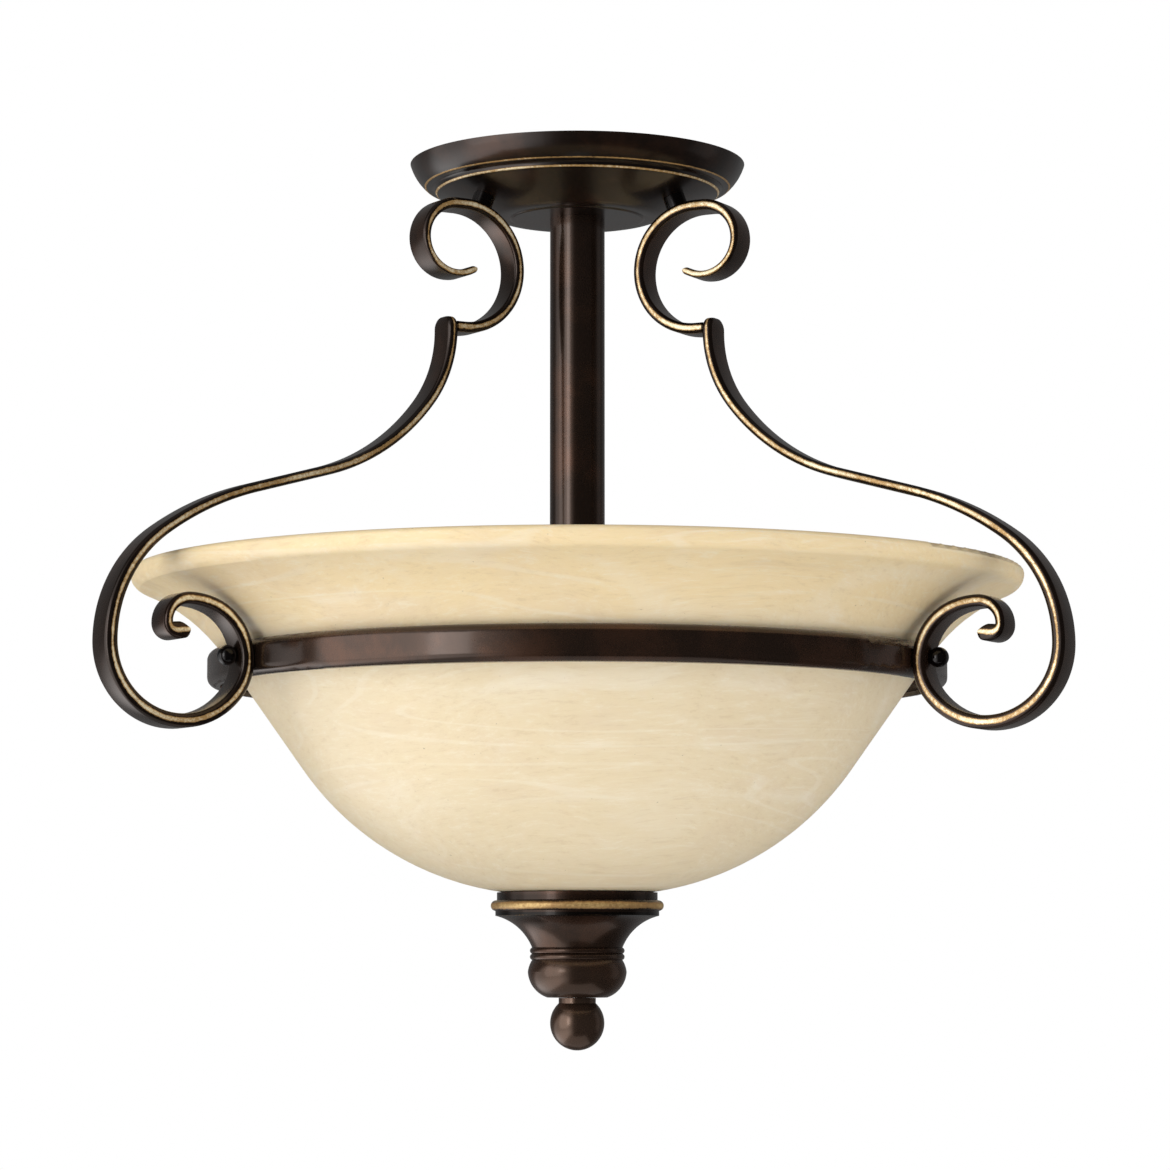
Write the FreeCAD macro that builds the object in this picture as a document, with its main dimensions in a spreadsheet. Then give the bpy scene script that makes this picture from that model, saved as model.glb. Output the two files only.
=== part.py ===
import FreeCAD, Part
import math
import os
import sys
from types import SimpleNamespace
import Sketcher

V = FreeCAD.Vector
Z_AXIS = V(0, 0, 1)

# Semi flush ceiling light. The origin is the middle of the ceiling plane and +Z points up,
# so everything hangs below zero. Lengths are millimetres and angles are degrees.
SIZES = {
    # fits
    "thread_gap": 0.05,
    "slip_gap": 0.3,
    "seat_gap": 0.2,
    # mounting strap on the ceiling box
    "strap_length": 103,
    "strap_width": 21,
    "strap_thick": 2.5,
    "box_screw_spacing": 88.9,
    "box_slot_width": 4.6,
    "box_slot_length": 10,
    "earth_screw_place": 24,
    "earth_screw_size": 4,
    "earth_head_size": 9,
    "earth_head_height": 3.2,
    # threaded pipe that hangs the light from the strap
    "pipe_size": 10,
    "pipe_bore": 6.4,
    "pipe_grip": 14,
    "pipe_nut_flats": 16,
    "pipe_nut_height": 4,
    "washer_thick": 0.9,
    # canopy, a spun pan
    "canopy_radius": 77.8,
    "canopy_depth": 25.6,
    "canopy_wall": 1.0,
    "canopy_slope": 21.3,
    "floor_radius": 36.5,
    "floor_bend": 14,
    "boss_radius": 30,
    "boss_sweep": 40,
    "moulding_bend": 1.3,
    "nose_sweep": 54,
    "nose_run": 0.4,
    "cove_bend": 2.2,
    "cove_sweep": 70,
    "shelf_run": 2.3,
    "brink_sweep": 36,
    "flange_bend": 22,
    "flange_sweep": 30,
    # stem
    "stem_size": 25.4,
    "stem_wall": 1.2,
    "stem_foot_below_ring": 13.4,
    "stem_collar_height": 2,
    "stem_plug_length": 16,
    "stem_neck_size": 16,
    "canopy_nut_flats": 24,
    "canopy_nut_height": 5,
    "canopy_washer_size": 34,
    "stem_foot_size": 13,
    "stem_foot_length": 8,
    # forged arms
    "arm_turn": -30,
    "bar_width": 15.5,
    "bar_thick": 5.0,
    "bar_edge": 1.35,
    "scroll_radius": 28.4,
    "scroll_top_run": 4.3,
    "scroll_curl_radius": 16.1,
    "scroll_curl_sweep": 204,
    "scroll_curl_thick": 4.0,
    "tip_run": 1.6,
    "nub_radius": 70.3,
    "nub_rise": 2.3,
    "nub_round": 5.2,
    "neck_radius": 56.5,
    "neck_sweep": 37.6,
    "hip_radius": 98,
    "hip_sweep": 36.8,
    "back_radius": 138,
    "back_sweep": 20.2,
    "shoulder_bend": 60,
    "shoulder_thick": 3.8,
    "belly_radius": 33.8,
    "belly_sweep": 142.7,
    "rise_radius": 23.4,
    "loop_thick": 6.2,
    "loop_sag": 2,
    "crown_radius": 25.2,
    "crown_sweep": 69.5,
    "brow_radius": 34,
    "brow_thick": 5.4,
    "curl_radius": 10.2,
    "curl_sweep": 92,
    "curl_thick": 5.2,
    "roll_radius": 3.9,
    "roll_sweep": 95,
    "roll_thick": 6.4,
    # arm fastenings
    "collar_place": 50.3,
    "collar_height": 5.9,
    "collar_size": 10,
    "arm_screw_size": 4,
    "arm_screw_head": 8,
    "arm_screw_head_height": 2.6,
    "screw_end_skin": 1.2,
    "ball_size": 9.1,
    "ball_rise": 3.6,
    "ball_shank_size": 4,
    "ring_nut_flats": 7,
    "ring_nut_height": 3.2,
    "screw_end_show": 0.5,
    # ring round the glass
    "ring_radius": 169.7,
    "ring_height": 16.2,
    "ring_wall": 2,
    "ring_corner": 3.2,
    "ring_lip": 5.9,
    "ring_drop": 236.4,
    # glass bowl
    "glass_wall": 4.6,
    "glass_below_ring": 102.6,
    "glass_overhang": 35.3,
    "glass_flat_run": 10.2,
    "glass_slope": 54.8,
    "glass_flare_start": 2.3,
    "glass_flare_sweep": 33.5,
    "glass_lip_bend": 4.6,
    "glass_hole_size": 11,
    # lamp cluster
    "cluster_radius": 25,
    "cluster_height": 22,
    "cluster_wall": 1.5,
    "lamp_turn": 30,
    "lamp_tilt": 15,
    "lamp_pipe_length": 11,
    "holder_size": 36,
    "holder_foot_size": 29,
    "holder_length": 35,
    "holder_back": 5,
    "shell_size": 27.4,
    "shell_wall": 0.5,
    "shell_length": 25,
    "contact_size": 8,
    "contact_height": 2,
    "lamp_base_size": 26.2,
    "lamp_base_length": 25,
    "lamp_size": 60,
    "lamp_space": 61.7,  # what the ring's radius has more than a lamp's length
    "lamp_glass_wall": 0.8,
    "lamp_neck_size": 26.2,
    "lamp_neck_length": 5.5,
    "lamp_shoulder_angle": 26,
    # rod and what clamps the glass
    "rod_size": 6.35,
    "rod_end_show": 2,
    "rod_nut_flats": 11,
    "rod_nut_height": 5,
    "plate_size": 44,
    "plate_thick": 1.6,
    "upper_gasket_size": 28,
    "lower_gasket_size": 52,
    "gasket_thick": 1.5,
    # finial
    "cup_radius": 36.8,
    "cup_rise": 1.1,
    "cup_band_height": 3.6,
    "cup_bead_height": 4.8,
    "cup_bead_bend": 2.42,
    "cup_step_height": 2.2,
    "cup_flare_height": 14.5,
    "cup_flare_bend": 24,
    "cup_throat_radius": 20.7,
    "cup_ring_height": 2.8,
    "cup_ring_bend": 1.5,
    "cup_wall": 1.4,
    "bulge_rise": 5.4,
    "bulge_drop": 11.7,
    "bulge_radius": 22.6,
    "bulge_bend": 13,
    "bulge_foot_radius": 13.7,
    "finial_neck_radius": 8.5,
    "finial_neck_height": 2.4,
    "finial_ball_radius": 12.4,
    "rod_in_ball": 14,
    "rod_end_space": 1,
}


class Size:
    """A number kept together with the sheet formula that gives it."""

    def __init__(self, value, formula):
        self.value = value
        self.formula = formula

    def __add__(self, other):
        other = as_size(other)
        return Size(self.value + other.value, "(%s + %s)" % (self.formula, other.formula))

    def __sub__(self, other):
        other = as_size(other)
        return Size(self.value - other.value, "(%s - %s)" % (self.formula, other.formula))

    def __mul__(self, other):
        other = as_size(other)
        return Size(self.value * other.value, "(%s * %s)" % (self.formula, other.formula))

    def __truediv__(self, other):
        other = as_size(other)
        return Size(self.value / other.value, "(%s / %s)" % (self.formula, other.formula))

    def __neg__(self):
        return Size(-self.value, "(-1 * %s)" % self.formula)

    def __radd__(self, other):
        return as_size(other) + self

    def __rsub__(self, other):
        return as_size(other) - self

    def __rmul__(self, other):
        return as_size(other) * self


def as_size(thing):
    return thing if isinstance(thing, Size) else Size(float(thing), repr(float(thing)))


def sine(angle):
    return Size(math.sin(math.radians(angle.value)), "sin(%s * 1 deg)" % angle.formula)


def cosine(angle):
    return Size(math.cos(math.radians(angle.value)), "cos(%s * 1 deg)" % angle.formula)


def tangent(angle):
    return sine(angle) / cosine(angle)


doc = FreeCAD.newDocument("SemiFlushLight")
sheet = doc.addObject("Spreadsheet::Sheet", "Dims")
for row, (word, number) in enumerate(SIZES.items(), start=1):
    sheet.set("A%d" % row, str(number))
    sheet.setAlias("A%d" % row, word)
doc.recompute()
D = SimpleNamespace(**{word: Size(float(number), "Dims." + word) for word, number in SIZES.items()})

pieces = []


def piece(thing, label):
    thing.Label = label
    pieces.append(thing)
    return thing


def bind(thing, prop, size, unit="mm"):
    thing.setExpression(prop, "%s * 1 %s" % (as_size(size).formula, unit))


def place(thing, azimuth=0, out=0, up=0, tilt=0):
    """Stand a piece at a radius and a height, its own axis tilted outward, then turn it about the stem."""
    turn = FreeCAD.Placement(V(0, 0, 0), FreeCAD.Rotation(Z_AXIS, azimuth))
    lean = FreeCAD.Rotation(V(0, 1, 0), as_size(tilt).value)
    thing.Placement = turn * FreeCAD.Placement(V(as_size(out).value, 0, as_size(up).value), lean)
    return thing


# ---- sketches -------------------------------------------------------------------------------

def new_sketch(body, role="XZ_Plane"):
    plane = [one for one in body.Origin.OriginFeatures if one.Role == role][0]
    sketch = body.newObject("Sketcher::SketchObject", "Outline")
    sketch.AttachmentSupport = (plane, [""])
    sketch.MapMode = "FlatFace"
    return sketch


def hold(sketch, kind, *where, size, unit="mm"):
    """Add a driving constraint and tie it to the sheet."""
    size = as_size(size)
    value = math.radians(size.value) if unit == "deg" else size.value
    number = sketch.addConstraint(Sketcher.Constraint(kind, *where, value))
    bind(sketch, "Constraints[%d]" % number, size, unit)


def hold_point(sketch, element, end, x, y):
    if x is not None:
        hold(sketch, "DistanceX", -1, 1, element, end, size=x)
    if y is not None:
        hold(sketch, "DistanceY", -1, 1, element, end, size=y)


def add_arc(sketch, first, last, centre):
    """Arc from first to last about a centre, the short way round; gives its number and its two ends."""
    radius = math.dist(first, centre)
    start = math.atan2(first[1] - centre[1], first[0] - centre[0])
    end = math.atan2(last[1] - centre[1], last[0] - centre[0])
    sweep = (end - start) % (2 * math.pi)
    circle = Part.Circle(V(*centre, 0), Z_AXIS, radius)
    if sweep <= math.pi:
        return sketch.addGeometry(Part.ArcOfCircle(circle, start, start + sweep), False), 1, 2
    return sketch.addGeometry(Part.ArcOfCircle(circle, end, end + 2 * math.pi - sweep), False), 2, 1


def outline(sketch, corners):
    """Closed outline. A corner is (x, y) or (x, y, bulge): a bulge is the radius of the arc that leads
    on from the corner, positive where the arc bows to the right of the way round."""
    corners = [(as_size(c[0]), as_size(c[1]), as_size(c[2]) if len(c) > 2 else None) for c in corners]
    drawn = []
    for here, there in zip(corners, corners[1:] + corners[:1]):
        first = (here[0].value, here[1].value)
        last = (there[0].value, there[1].value)
        if here[2] is None:
            line = Part.LineSegment(V(*first, 0), V(*last, 0))
            drawn.append((sketch.addGeometry(line, False), 1, 2))
        else:
            radius = here[2].value
            chord = math.dist(first, last)
            rise = math.sqrt(radius * radius - chord * chord / 4) * math.copysign(1, radius)
            along = ((last[0] - first[0]) / chord, (last[1] - first[1]) / chord)
            centre = ((first[0] + last[0]) / 2 - along[1] * rise, (first[1] + last[1]) / 2 + along[0] * rise)
            drawn.append(add_arc(sketch, first, last, centre))
    for here, after in zip(drawn, drawn[1:] + drawn[:1]):
        sketch.addConstraint(Sketcher.Constraint("Coincident", here[0], here[2], after[0], after[1]))
    for (x, y, bulge), (number, first_end, _) in zip(corners, drawn):
        hold_point(sketch, number, first_end, x, y)
        if bulge is not None:
            size = bulge if bulge.value > 0 else -bulge
            hold(sketch, "Radius", number, size=size)
    return sketch


# ---- bent strips ----------------------------------------------------------------------------

class Run:
    """Straight stretch of a strip. Without a length it is as long as the pins ask."""

    def __init__(self, length=None):
        self.length = length


class Bend:
    """Round stretch of a strip: radius of its middle line, sweep, and thickness there."""

    def __init__(self, turn, radius, sweep, thick):
        self.turn = turn
        self.radius = radius
        self.sweep = sweep
        self.thick = thick

    def edge_radius(self, side):
        return self.radius - self.thick * (side * self.turn / 2)


LEFT = 1
RIGHT = -1


def walk(start, heading, steps, side, lengths):
    """Ends of each step of one edge, with the heading and, for a bend, its centre."""
    x, y = start
    trail = []
    for number, step in enumerate(steps):
        if isinstance(step, Run):
            length = lengths.get(number, step.length.value if step.length is not None else 0)
            after = (x + length * math.cos(heading), y + length * math.sin(heading))
            trail.append(((x, y), after, None, heading))
        else:
            radius = step.edge_radius(side).value
            centre = (x - step.turn * radius * math.sin(heading), y + step.turn * radius * math.cos(heading))
            heading += step.turn * math.radians(step.sweep.value)
            after = (centre[0] + step.turn * radius * math.sin(heading),
                     centre[1] - step.turn * radius * math.cos(heading))
            trail.append(((x, y), after, centre, heading))
        x, y = after
    return trail


def free_lengths(start, heading, steps, side, pins):
    """Lengths of the open runs that bring the pinned points to their places."""
    open_runs = [n for n, step in enumerate(steps) if isinstance(step, Run) and step.length is None]
    trail = walk(start, heading, steps, side, {})
    wanted = []
    for number, pin in pins.items():
        for axis in (0, 1):
            if pin[axis] is not None:
                way = (math.cos, math.sin)[axis]
                row = [way(trail[n][3]) if n <= number else 0.0 for n in open_runs]
                wanted.append((row, pin[axis].value - trail[number][1][axis]))
    if len(wanted) == 1:
        return {open_runs[0]: wanted[0][1] / wanted[0][0][0]}
    if len(wanted) == 2:
        (a, b), p = wanted[0]
        (c, d), q = wanted[1]
        scale = a * d - b * c
        return {open_runs[0]: (p * d - b * q) / scale, open_runs[1]: (a * q - c * p) / scale}
    return {}


def strip_edge(sketch, start, heading, steps, side, pins, lengths):
    """Draw one edge of a strip, every stretch tangent to the one before, and tie it to the sheet."""
    first = (start[0].value, start[1].value)
    trail = walk(first, heading, steps, side, lengths)
    drawn = []
    for step, (here, there, centre, _) in zip(steps, trail):
        if centre is None:
            line = Part.LineSegment(V(*here, 0), V(*there, 0))
            drawn.append((sketch.addGeometry(line, False), 1, 2))
        else:
            circle = Part.Circle(V(*centre, 0), Z_AXIS, math.dist(here, centre))
            ends = (here, there) if step.turn == LEFT else (there, here)
            low, high = (math.atan2(p[1] - centre[1], p[0] - centre[0]) for p in ends)
            arc = Part.ArcOfCircle(circle, low, low + (high - low) % (2 * math.pi))
            number = sketch.addGeometry(arc, False)
            drawn.append((number, 1, 2) if step.turn == LEFT else (number, 2, 1))
    for here, after in zip(drawn, drawn[1:]):
        sketch.addConstraint(Sketcher.Constraint("Tangent", here[0], here[2], after[0], after[1]))
    hold_point(sketch, drawn[0][0], drawn[0][1], *start)
    flat = abs(math.sin(heading)) < 0.5
    sketch.addConstraint(Sketcher.Constraint("Horizontal" if flat else "Vertical", drawn[0][0]))
    for number, (step, (element, _, last_end)) in enumerate(zip(steps, drawn)):
        if isinstance(step, Bend):
            hold(sketch, "Radius", element, size=step.edge_radius(side))
            hold(sketch, "Angle", element, size=step.sweep, unit="deg")
        elif step.length is not None and number not in lengths:
            hold(sketch, "Distance", element, size=step.length)
        if number in pins:
            hold_point(sketch, element, last_end, *pins[number])
    return drawn, trail


def strip(sketch, starts, heading, steps, pins=None, tip=None):
    """Closed outline of a bent strip. starts and pins give places for the LEFT and RIGHT edges.
    tip is the straight stretch before a rounded end; without one the end is cut square."""
    heading = math.radians(heading)
    pins = pins or {LEFT: {}, RIGHT: {}}
    lengths = {}
    for side in (LEFT, RIGHT):
        first = (as_size(starts[side][0]).value, as_size(starts[side][1]).value)
        lengths[side] = free_lengths(first, heading, steps, side, pins[side])
    tip_steps = {LEFT: [], RIGHT: []}
    if tip is not None:
        ends = {}
        for side in (LEFT, RIGHT):
            first = (as_size(starts[side][0]).value, as_size(starts[side][1]).value)
            ends[side] = walk(first, heading, steps, side, lengths[side])[-1]
        way = ends[LEFT][3]
        ahead = ((ends[LEFT][1][0] - ends[RIGHT][1][0]) * math.cos(way)
                 + (ends[LEFT][1][1] - ends[RIGHT][1][1]) * math.sin(way))
        tip_steps = {LEFT: [Run(tip)], RIGHT: [Run(tip)]}
        lengths[RIGHT][len(steps)] = tip.value + ahead
    edges = {}
    for side in (LEFT, RIGHT):
        start = (as_size(starts[side][0]), as_size(starts[side][1]))
        whole = steps + tip_steps[side]
        edges[side] = strip_edge(sketch, start, heading, whole, side, pins[side], lengths[side])
    left, left_trail = edges[LEFT]
    right, right_trail = edges[RIGHT]
    foot = Part.LineSegment(V(*left_trail[0][0], 0), V(*right_trail[0][0], 0))
    number = sketch.addGeometry(foot, False)
    sketch.addConstraint(Sketcher.Constraint("Coincident", number, 1, left[0][0], left[0][1]))
    sketch.addConstraint(Sketcher.Constraint("Coincident", number, 2, right[0][0], right[0][1]))
    left_end, right_end = left_trail[-1][1], right_trail[-1][1]
    if tip is None:
        number = sketch.addGeometry(Part.LineSegment(V(*left_end, 0), V(*right_end, 0)), False)
        sketch.addConstraint(Sketcher.Constraint("Coincident", number, 1, left[-1][0], left[-1][2]))
        sketch.addConstraint(Sketcher.Constraint("Coincident", number, 2, right[-1][0], right[-1][2]))
    else:
        centre = ((left_end[0] + right_end[0]) / 2, (left_end[1] + right_end[1]) / 2)
        low = math.atan2(right_end[1] - centre[1], right_end[0] - centre[0])
        circle = Part.Circle(V(*centre, 0), Z_AXIS, math.dist(left_end, centre))
        number = sketch.addGeometry(Part.ArcOfCircle(circle, low, low + math.pi), False)
        sketch.addConstraint(Sketcher.Constraint("Tangent", number, 2, left[-1][0], left[-1][2]))
        sketch.addConstraint(Sketcher.Constraint("Tangent", number, 1, right[-1][0], right[-1][2]))
    return sketch


# ---- ways of making a piece -----------------------------------------------------------------

def new_body(name):
    return doc.addObject("PartDesign::Body", name)


def revolve(body, sketch):
    turned_shape = body.newObject("PartDesign::Revolution", "Turning")
    turned_shape.Profile = sketch
    turned_shape.ReferenceAxis = (sketch, ["V_Axis"])
    turned_shape.Angle = 360
    return body


def turned(name, corners):
    """Piece turned about its own axis; corners are (radius, height)."""
    body = new_body(name)
    outline(new_sketch(body), corners)
    return revolve(body, body.Group[0])


def ring_shape(name, radius, bore, height):
    return turned(name, [(bore, 0), (radius, 0), (radius, height), (bore, height)])


def rod_shape(name, radius, height):
    pin = doc.addObject("Part::Cylinder", name)
    bind(pin, "Radius", radius)
    bind(pin, "Height", height)
    return pin


def nut_shape(name, flats, bore, height):
    sides = 6
    prism = doc.addObject("Part::Prism", name + "_hexagon")
    prism.Polygon = sides
    bind(prism, "Circumradius", flats / (2 * cosine(as_size(180 / sides))))
    bind(prism, "Height", height)
    return cut(name, prism, [rod_shape(name + "_bore", bore, height)])


def cut(name, base, tools):
    result = doc.addObject("Part::Cut", name)
    result.Base = base
    if len(tools) > 1:
        both = doc.addObject("Part::MultiFuse", name + "_tools")
        both.Shapes = tools
        tools = [both]
    result.Tool = tools[0]
    return result


def headed(name, shank, length, head, head_height):
    """Screw with a domed head above its shank, the seat of the head at zero."""
    dome = head_height / 2
    return turned(name, [
        (0, -length),
        (shank, -length),
        (shank, 0),
        (head, 0),
        (head, dome, (head * head + dome * dome) / (2 * dome)),
        (0, head_height),
    ])


# ---- heights and places shared by several pieces ----------------------------------------------

ARMS = {name: turn + D.arm_turn.value for name, turn in (("right", 0), ("left", -120), ("back", 120))}
LAMPS = {name: turn + D.lamp_turn.value for name, turn in (("front", -120), ("left", 120), ("right", 0))}

pipe_radius = D.pipe_size / 2
pipe_fit = pipe_radius + D.thread_gap
strap_floor = -D.strap_thick
canopy_floor = -D.canopy_depth
stem_radius = D.stem_size / 2
stem_top = canopy_floor - D.stem_collar_height
stem_bottom = -D.ring_drop - D.stem_foot_below_ring
neck_radius = D.stem_neck_size / 2

boss_rise = 2 * D.moulding_bend * (1 - cosine(D.boss_sweep))
collar_seat = canopy_floor + (D.collar_place - D.floor_radius) * tangent(D.canopy_slope) + boss_rise
scroll_reach = D.collar_height + D.scroll_radius + D.bar_thick / 2
scroll_out = D.collar_place + scroll_reach * sine(D.canopy_slope)
scroll_up = collar_seat - scroll_reach * cosine(D.canopy_slope)
scroll_end = D.nub_radius - D.bar_thick / 2

ring_up = -D.ring_drop
ring_top = ring_up + D.ring_height / 2
ring_inside = D.ring_radius - D.ring_lip

glass_bottom = ring_up - D.glass_below_ring
glass_inside = glass_bottom + D.glass_wall

cover_top = stem_bottom - D.stem_collar_height
cluster_top = cover_top - D.cluster_wall
cluster_bottom = cluster_top - D.cluster_height
lamp_up = cluster_top - D.cluster_height / 2
cluster_lean = tangent(D.lamp_tilt) * D.cluster_height / 2
lamp_seat = D.cluster_radius * cosine(D.lamp_tilt)
lamp_length = D.ring_radius - D.lamp_space

rod_radius = D.rod_size / 2
rod_fit = rod_radius + D.thread_gap
rod_slip = rod_radius + D.slip_gap
rod_top = cluster_bottom + D.cluster_wall + D.rod_nut_height + D.rod_end_show

gasket_top = glass_bottom - D.seat_gap
web_top = gasket_top - D.gasket_thick
cup_rim = glass_bottom + D.cup_rise
bead_top = cup_rim - D.cup_band_height
bead_bottom = bead_top - D.cup_bead_height
flare_top = bead_bottom - D.cup_step_height
flare_bottom = flare_top - D.cup_flare_height
cup_bottom = flare_bottom - D.cup_ring_height
turning_neck = cup_bottom - D.cup_ring_height
turning_bottom = turning_neck - D.bulge_rise - D.bulge_drop
ball_top = turning_bottom - D.seat_gap


# ---- ceiling end ------------------------------------------------------------------------------

def stadium(middle, reach, side):
    """Corners of a slot shape: straight sides and half round ends."""
    return [
        (middle - reach + side, -side),
        (middle + reach - side, -side, side),
        (middle + reach, 0, side),
        (middle + reach - side, side),
        (middle - reach + side, side, side),
        (middle - reach, 0, side),
    ]


def plate(name, corners, thick, both_ways=False):
    body = new_body(name)
    outline(new_sketch(body, "XY_Plane"), corners)
    pad = body.newObject("PartDesign::Pad", "Plate")
    pad.Profile = body.Group[0]
    bind(pad, "Length", thick)
    if both_ways:
        pad.SideType = "Symmetric"
    else:
        pad.Reversed = True
    return body


def mounting_strap():
    """Flat steel strap, slotted for the two screws of the ceiling box."""
    blank = plate("strap_blank", stadium(as_size(0), D.strap_length / 2, D.strap_width / 2), D.strap_thick)
    tools = []
    for number, way in enumerate((-1, 1)):
        corners = stadium(D.box_screw_spacing / 2 * way, D.box_slot_length / 2, D.box_slot_width / 2)
        tools.append(plate("box_slot_%d" % number, corners, D.strap_thick * 4, both_ways=True))
    for name, out, radius in (("pipe_hole", as_size(0), pipe_fit),
                              ("earth_hole", D.earth_screw_place, D.earth_screw_size / 2 + D.thread_gap)):
        tools.append(place(rod_shape(name, radius, D.strap_thick * 3), out=out, up=strap_floor * 2))
    piece(cut("strap_cut", blank, tools), "mounting_strap")


def ceiling_fasteners():
    """Earth screw, star washer, nut and the threaded pipe that carries the light."""
    earth = headed("earth_screw_turning", D.earth_screw_size / 2, D.strap_thick, D.earth_head_size / 2,
                   D.earth_head_height)
    piece(place(earth, out=D.earth_screw_place, up=strap_floor, tilt=180), "earth_screw")
    washer_top = strap_floor
    washer = ring_shape("star_washer_turning", D.pipe_nut_flats / 2, pipe_fit, D.washer_thick)
    piece(place(washer, up=washer_top - D.washer_thick), "star_washer")
    nut = nut_shape("pipe_nut_cut", D.pipe_nut_flats, pipe_fit, D.pipe_nut_height)
    piece(place(nut, up=washer_top - D.washer_thick - D.pipe_nut_height), "pipe_nut")
    pipe_length = -stem_top + D.pipe_grip
    pipe = ring_shape("hanging_pipe_turning", pipe_radius, D.pipe_bore / 2, pipe_length)
    piece(place(pipe, up=-pipe_length), "hanging_pipe")


def canopy():
    """Spun pan: boss round the stem, flat floor, sloping underside, cove and a flared flange."""
    wall = D.canopy_wall
    small = D.moulding_bend
    boss_run = D.boss_radius - neck_radius - D.slip_gap
    boss_edge = 2 * small * sine(D.boss_sweep)
    floor_run = (D.floor_radius - D.boss_radius - boss_edge
                 - (D.floor_bend + wall / 2) * tangent(D.canopy_slope / 2))
    steps = [
        Run(boss_run),
        Bend(LEFT, small, D.boss_sweep, wall),
        Bend(RIGHT, small, D.boss_sweep, wall),
        Run(floor_run),
        Bend(LEFT, D.floor_bend, D.canopy_slope, wall),
        Run(),
        Bend(LEFT, small, D.nose_sweep, wall),
        Run(D.nose_run),
        Bend(RIGHT, D.cove_bend, D.cove_sweep, wall),
        Run(D.shelf_run),
        Bend(LEFT, small, D.brink_sweep, wall),
        Bend(LEFT, D.flange_bend, D.flange_sweep, wall),
        Run(),
    ]
    rim_lean = math.radians(sum(step.turn * step.sweep.value for step in steps if isinstance(step, Bend)))
    rim_wall = wall * (1 / math.sin(rim_lean))
    inside = neck_radius + D.slip_gap
    starts = {LEFT: (inside, canopy_floor + wall), RIGHT: (inside, canopy_floor)}
    last = len(steps) - 1
    pins = {LEFT: {last: (D.canopy_radius - rim_wall, as_size(0))},
            RIGHT: {last: (D.canopy_radius, as_size(0))}}
    body = new_body("canopy_spinning")
    strip(new_sketch(body), starts, 0, steps, pins)
    revolve(body, body.Group[0])
    tools = []
    for name, azimuth in ARMS.items():
        hole = rod_shape("canopy_hole_" + name, D.arm_screw_size / 2 + D.slip_gap, wall * 4)
        hole_out = D.collar_place - wall * 2 * sine(D.canopy_slope)
        hole_up = collar_seat + wall * 2 * cosine(D.canopy_slope)
        tools.append(place(hole, azimuth, hole_out, hole_up, 180 - D.canopy_slope))
    piece(cut("canopy_cut", body, tools), "canopy")


# ---- stem -------------------------------------------------------------------------------------

def stem():
    """Tube with a plug at each end: the top one clamps the canopy, the lower one carries the cluster."""
    tube = ring_shape("stem_tube_turning", stem_radius, stem_radius - D.stem_wall, stem_top - stem_bottom)
    piece(place(tube, up=stem_bottom), "stem_tube")
    plug_radius = stem_radius - D.stem_wall - D.thread_gap
    neck_height = D.stem_collar_height + D.canopy_wall + D.washer_thick + D.canopy_nut_height
    top = turned("stem_top_turning", [
        (pipe_fit, -D.stem_plug_length),
        (plug_radius, -D.stem_plug_length),
        (plug_radius, 0),
        (stem_radius, 0),
        (stem_radius, D.stem_collar_height),
        (neck_radius, D.stem_collar_height),
        (neck_radius, neck_height),
        (pipe_fit, neck_height),
    ])
    piece(place(top, up=stem_top), "stem_top_plug")
    washer = ring_shape("canopy_washer_turning", D.canopy_washer_size / 2, neck_radius + D.slip_gap,
                        D.washer_thick)
    piece(place(washer, up=canopy_floor + D.canopy_wall), "canopy_washer")
    nut = nut_shape("canopy_nut_cut", D.canopy_nut_flats, neck_radius + D.thread_gap, D.canopy_nut_height)
    piece(place(nut, up=canopy_floor + D.canopy_wall + D.washer_thick), "canopy_nut")
    foot = turned("stem_foot_turning", [
        (D.pipe_bore / 2, -D.stem_collar_height - D.stem_foot_length),
        (D.stem_foot_size / 2, -D.stem_collar_height - D.stem_foot_length),
        (D.stem_foot_size / 2, -D.stem_collar_height),
        (stem_radius, -D.stem_collar_height),
        (stem_radius, 0),
        (plug_radius, 0),
        (plug_radius, D.stem_plug_length),
        (D.pipe_bore / 2, D.stem_plug_length),
    ])
    piece(place(foot, up=stem_bottom), "stem_bottom_plug")


# ---- arms -------------------------------------------------------------------------------------

def forge(name, steps, starts, heading, pins=None):
    """Flat bar bent on edge: the strip outline drawn to the width of the bar."""
    body = new_body(name)
    strip(new_sketch(body), starts, heading, steps, pins, tip=D.tip_run)
    bar = body.newObject("PartDesign::Pad", "Bar")
    bar.Profile = body.Group[0]
    bind(bar, "Length", D.bar_width)
    bar.SideType = "Symmetric"
    doc.recompute()
    return body


SLACK = 0.01  # how near a plane an end of an edge counts as on it


def round_edges(body, radius, wanted):
    """Fillet the edges whose two ends pass the test."""
    names = []
    for number, edge in enumerate(body.Shape.Edges, start=1):
        ends = [vertex.Point for vertex in edge.Vertexes]
        if wanted(ends[0], ends[-1]):
            names.append("Edge%d" % number)
    before = body.Tip
    fillet = body.newObject("PartDesign::Fillet", "Rounding")
    fillet.Base = (before, names)
    bind(fillet, "Radius", radius)
    doc.recompute()
    return body


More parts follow.
